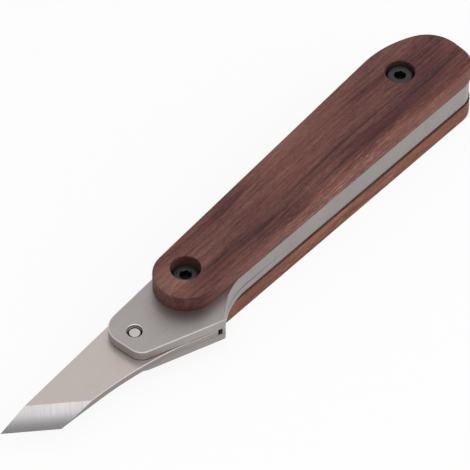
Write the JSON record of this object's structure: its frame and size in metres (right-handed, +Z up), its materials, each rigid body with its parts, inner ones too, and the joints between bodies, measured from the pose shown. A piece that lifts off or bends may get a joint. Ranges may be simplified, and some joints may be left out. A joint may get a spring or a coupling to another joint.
{
  "type": "leather knife",
  "caption": "Leather knife with a slanted single-bevel blade clamped between two steel plates, wooden scales and recessed socket screws.",
  "frame": {"origin": "on the flat outer face of the lower scale, under the front screw, on the handle's middle line", "axes": "+X from the blade toward the butt, +Y toward the spine, +Z up through the upper scale"},
  "size_m": [0.1771, 0.0273, 0.0189],
  "materials": {
    "upper_wood": "oiled dark reddish-brown hardwood, fine straight grain",
    "lower_wood": "oiled reddish-brown hardwood, fine straight grain",
    "plate_steel": "satin ground steel with fine lengthwise lines",
    "blade_steel": "matte warm grey flats with a bright ground bevel",
    "pin_steel": "bright ground steel pin",
    "black_screw": "black oxide steel, satin"
  },
  "bodies": {
    "lower_half": {"lower_scale": "lower_wood", "lower_plate": "plate_steel", "blade_pin": "pin_steel", "front_dowel": "pin_steel", "rear_dowel": "pin_steel", "front_nut": "black_screw", "rear_nut": "black_screw"},
    "upper_half": {"upper_plate": "plate_steel", "upper_scale": "upper_wood"},
    "blade": {"blade": "blade_steel"},
    "front_screw": {"front_screw": "black_screw"},
    "rear_screw": {"rear_screw": "black_screw"}
  },
  "joints": [
    {"name": "upper_lift", "type": "slide", "parent": "lower_half", "child": "upper_half", "axis": [0, 0, 1], "range_m": [0, 0.03]},
    {"name": "blade_lift", "type": "slide", "parent": "lower_half", "child": "blade", "axis": [0, 0, 1], "range_m": [0, 0.015]},
    {"name": "front_screw_turn", "type": "hinge", "parent": "upper_half", "child": "front_screw", "pos_m": [0, 0.0011, 0.0123], "axis": [0, 0, 1], "continuous": true},
    {"name": "rear_screw_turn", "type": "hinge", "parent": "upper_half", "child": "rear_screw", "pos_m": [0.0917, 0.0018, 0.0137], "axis": [0, 0, 1], "continuous": true}
  ],
  "couplings": [
    {"joint": "blade_lift", "follows": "upper_lift", "ratio": 0.5}
  ]
}
